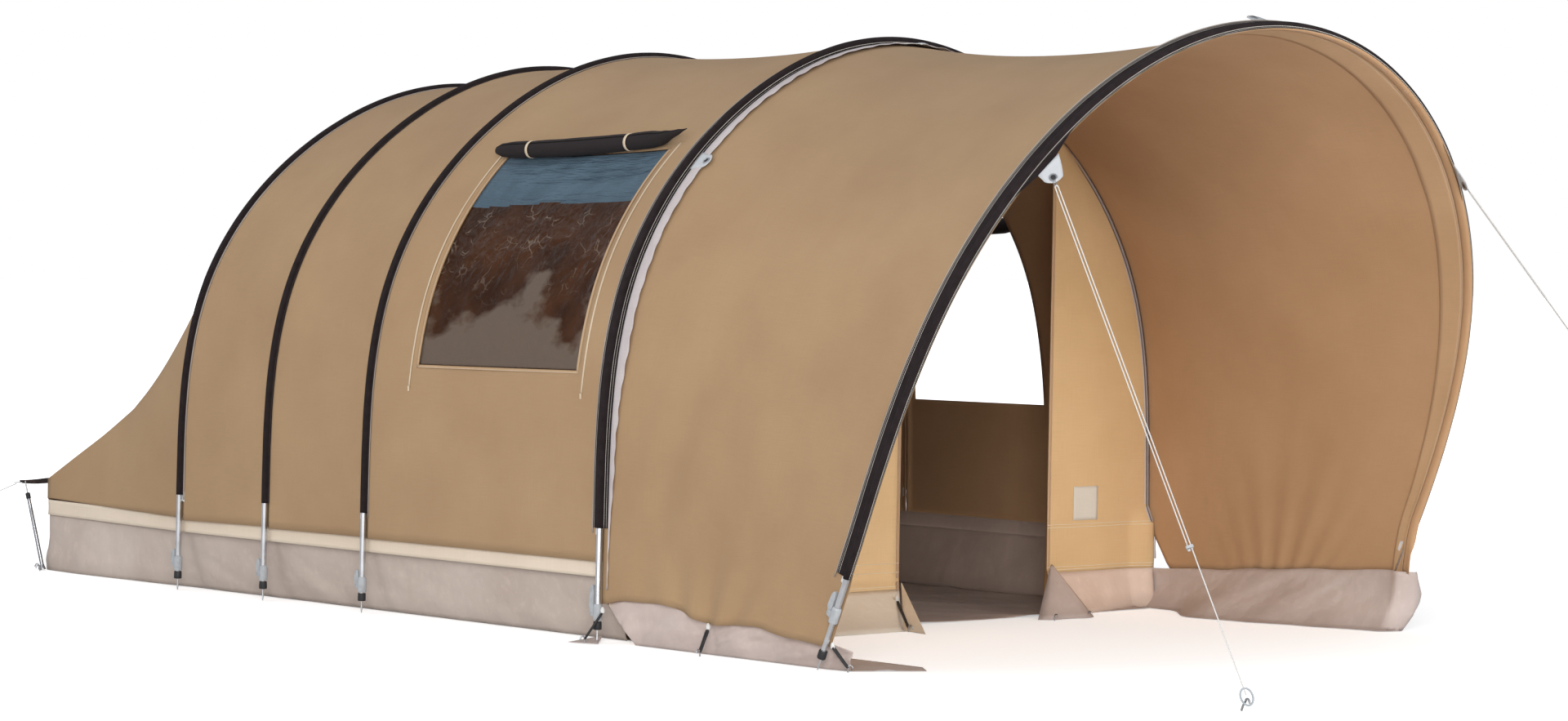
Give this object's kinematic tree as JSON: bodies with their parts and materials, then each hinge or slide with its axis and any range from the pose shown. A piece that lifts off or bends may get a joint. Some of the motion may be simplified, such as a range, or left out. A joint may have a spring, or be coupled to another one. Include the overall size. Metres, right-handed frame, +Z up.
{
  "type": "cotton tent",
  "caption": "Tunnel tent of cotton cloth on tube hoops, with a groundsheet tub, a front wall with a doorway, windows and an open canopy on a leaning front hoop.",
  "frame": {"origin": "on the ground under the middle of the tent, without its guys and pegs", "axes": "+Z up, -Y towards the open canopy at the front, the filmed window on the -X side"},
  "size_m": [3.5813, 7.8584, 2.3444],
  "materials": {
    "canvas": "matt tan cotton canvas",
    "wall_canvas": "matt golden cotton canvas",
    "band_fabric": "dark brown coated webbing and sleeve cloth",
    "mud_fabric": "taupe coated groundsheet cloth",
    "clear_film": "clear flexible window film",
    "aluminium": "bright drawn tube",
    "grey_plastic": "grey moulded plastic",
    "steel": "zinc plated steel",
    "rope": "white braided cord"
  },
  "bodies": {
    "tent": {"arch_tube_1": "aluminium", "arch_tube_2": "aluminium", "arch_tube_3": "aluminium", "arch_tube_4": "aluminium", "sleeve_1": "band_fabric", "sleeve_2": "band_fabric", "sleeve_3": "band_fabric", "sleeve_4": "band_fabric", "roof_bay_1": "canvas", "roof_bay_2": "canvas", "roof_bay_3": "canvas", "canopy": "canvas", "rear_panel": "canvas", "groundsheet": "mud_fabric", "front_wall_left": "wall_canvas", "front_wall_right": "wall_canvas", "front_wall_header": "wall_canvas", "door_leaf": "wall_canvas", "window_film": "clear_film", "blind_left": "band_fabric", "blind_right": "band_fabric", "skirt_left": "mud_fabric", "skirt_right": "mud_fabric", "guy_front_left": "rope", "guy_front_right": "rope", "guy_rear": "rope", "peg_front_left": "steel", "peg_front_right": "steel", "peg_rear": "steel", "rear_prop_left": "aluminium", "rear_prop_right": "aluminium", "rear_strap_left": "band_fabric", "rear_strap_right": "band_fabric"},
    "front_hoop": {"arch_tube_5": "aluminium", "sleeve_5": "band_fabric", "guy_tab_left": "mud_fabric", "guy_tab_right": "mud_fabric"},
    "leg_1_left": {"leg_1_left": "aluminium"},
    "leg_1_right": {"leg_1_right": "aluminium"},
    "leg_2_left": {"leg_2_left": "aluminium"},
    "leg_2_right": {"leg_2_right": "aluminium"},
    "leg_3_left": {"leg_3_left": "aluminium"},
    "leg_3_right": {"leg_3_right": "aluminium"},
    "leg_4_left": {"leg_4_left": "aluminium"},
    "leg_4_right": {"leg_4_right": "aluminium"},
    "leg_5_left": {"leg_5_left": "aluminium"},
    "leg_5_right": {"leg_5_right": "aluminium"},
    "lever_1_left": {"clamp_lever_1_left": "grey_plastic"},
    "lever_1_right": {"clamp_lever_1_right": "grey_plastic"},
    "lever_2_left": {"clamp_lever_2_left": "grey_plastic"},
    "lever_2_right": {"clamp_lever_2_right": "grey_plastic"},
    "lever_3_left": {"clamp_lever_3_left": "grey_plastic"},
    "lever_3_right": {"clamp_lever_3_right": "grey_plastic"},
    "lever_4_left": {"clamp_lever_4_left": "grey_plastic"},
    "lever_4_right": {"clamp_lever_4_right": "grey_plastic"},
    "lever_5_left": {"clamp_lever_5_left": "grey_plastic"},
    "lever_5_right": {"clamp_lever_5_right": "grey_plastic"},
    "runner_left": {"runner_left": "grey_plastic"},
    "runner_right": {"runner_right": "grey_plastic"},
    "zip_slider": {"zip_slider": "steel"}
  },
  "joints": [
    {"name": "front_hoop_fold", "type": "hinge", "parent": "tent", "child": "front_hoop", "pos_m": [0, -2.193, 0], "axis": [-1, 0, 0], "range_deg": [0, 40], "deforming": ["canopy", "guy_front_left", "guy_front_right"]},
    {"name": "leg_1_left_slide", "type": "slide", "parent": "tent", "child": "leg_1_left", "axis": [-0.015, 0, -0.9999], "range_m": [0, 0.12]},
    {"name": "leg_1_right_slide", "type": "slide", "parent": "tent", "child": "leg_1_right", "axis": [0.015, 0, -0.9999], "range_m": [0, 0.12]},
    {"name": "leg_2_left_slide", "type": "slide", "parent": "tent", "child": "leg_2_left", "axis": [-0.0146, 0, -0.9999], "range_m": [0, 0.12]},
    {"name": "leg_2_right_slide", "type": "slide", "parent": "tent", "child": "leg_2_right", "axis": [0.0146, 0, -0.9999], "range_m": [0, 0.12]},
    {"name": "leg_3_left_slide", "type": "slide", "parent": "tent", "child": "leg_3_left", "axis": [-0.0143, 0, -0.9999], "range_m": [0, 0.12]},
    {"name": "leg_3_right_slide", "type": "slide", "parent": "tent", "child": "leg_3_right", "axis": [0.0143, 0, -0.9999], "range_m": [0, 0.12]},
    {"name": "leg_4_left_slide", "type": "slide", "parent": "tent", "child": "leg_4_left", "axis": [-0.014, 0, -0.9999], "range_m": [0, 0.12]},
    {"name": "leg_4_right_slide", "type": "slide", "parent": "tent", "child": "leg_4_right", "axis": [0.014, 0, -0.9999], "range_m": [0, 0.12]},
    {"name": "leg_5_left_slide", "type": "slide", "parent": "front_hoop", "child": "leg_5_left", "axis": [0.0149, 0.4155, -0.9094], "range_m": [0, 0.12]},
    {"name": "leg_5_right_slide", "type": "slide", "parent": "front_hoop", "child": "leg_5_right", "axis": [-0.0149, 0.4155, -0.9094], "range_m": [0, 0.12]},
    {"name": "lever_1_left_swing", "type": "hinge", "parent": "tent", "child": "lever_1_left", "pos_m": [-1.49833, 1.813, 0.11099], "axis": [-0.9999, 0, 0.015], "range_deg": [0, 110]},
    {"name": "lever_1_right_swing", "type": "hinge", "parent": "tent", "child": "lever_1_right", "pos_m": [1.49833, 1.813, 0.11099], "axis": [-0.9999, 0, -0.015], "range_deg": [0, 110]},
    {"name": "lever_2_left_swing", "type": "hinge", "parent": "tent", "child": "lever_2_left", "pos_m": [-1.49838, 1.203, 0.11099], "axis": [-0.9999, 0, 0.0146], "range_deg": [0, 110]},
    {"name": "lever_2_right_swing", "type": "hinge", "parent": "tent", "child": "lever_2_right", "pos_m": [1.49838, 1.203, 0.11099], "axis": [-0.9999, 0, -0.0146], "range_deg": [0, 110]},
    {"name": "lever_3_left_swing", "type": "hinge", "parent": "tent", "child": "lever_3_left", "pos_m": [-1.49842, 0.531, 0.11099], "axis": [-0.9999, 0, 0.0143], "range_deg": [0, 110]},
    {"name": "lever_3_right_swing", "type": "hinge", "parent": "tent", "child": "lever_3_right", "pos_m": [1.49842, 0.531, 0.11099], "axis": [-0.9999, 0, -0.0143], "range_deg": [0, 110]},
    {"name": "lever_4_left_swing", "type": "hinge", "parent": "tent", "child": "lever_4_left", "pos_m": [-1.49845, -0.94, 0.11099], "axis": [-0.9999, 0, 0.014], "range_deg": [0, 110]},
    {"name": "lever_4_right_swing", "type": "hinge", "parent": "tent", "child": "lever_4_right", "pos_m": [1.49845, -0.94, 0.11099], "axis": [-0.9999, 0, -0.014], "range_deg": [0, 110]},
    {"name": "lever_5_left_swing", "type": "hinge", "parent": "front_hoop", "child": "lever_5_left", "pos_m": [-1.5033, -2.26028, 0.21221], "axis": [-0.9999, 0.0062, -0.0136], "range_deg": [0, 110]},
    {"name": "lever_5_right_swing", "type": "hinge", "parent": "front_hoop", "child": "lever_5_right", "pos_m": [1.5033, -2.26028, 0.21221], "axis": [-0.9999, -0.0062, 0.0136], "range_deg": [0, 110]},
    {"name": "runner_left_slide", "type": "slide", "parent": "tent", "child": "runner_left", "axis": [-0.066, -0.5271, -0.8472], "range_m": [-0.6, 0.4]},
    {"name": "runner_right_slide", "type": "slide", "parent": "tent", "child": "runner_right", "axis": [0.2019, -0.5849, -0.7856], "range_m": [-0.6, 0.4]},
    {"name": "zip_slider_slide", "type": "slide", "parent": "tent", "child": "zip_slider", "axis": [0, 0, 1], "range_m": [0, 0.5]}
  ]
}
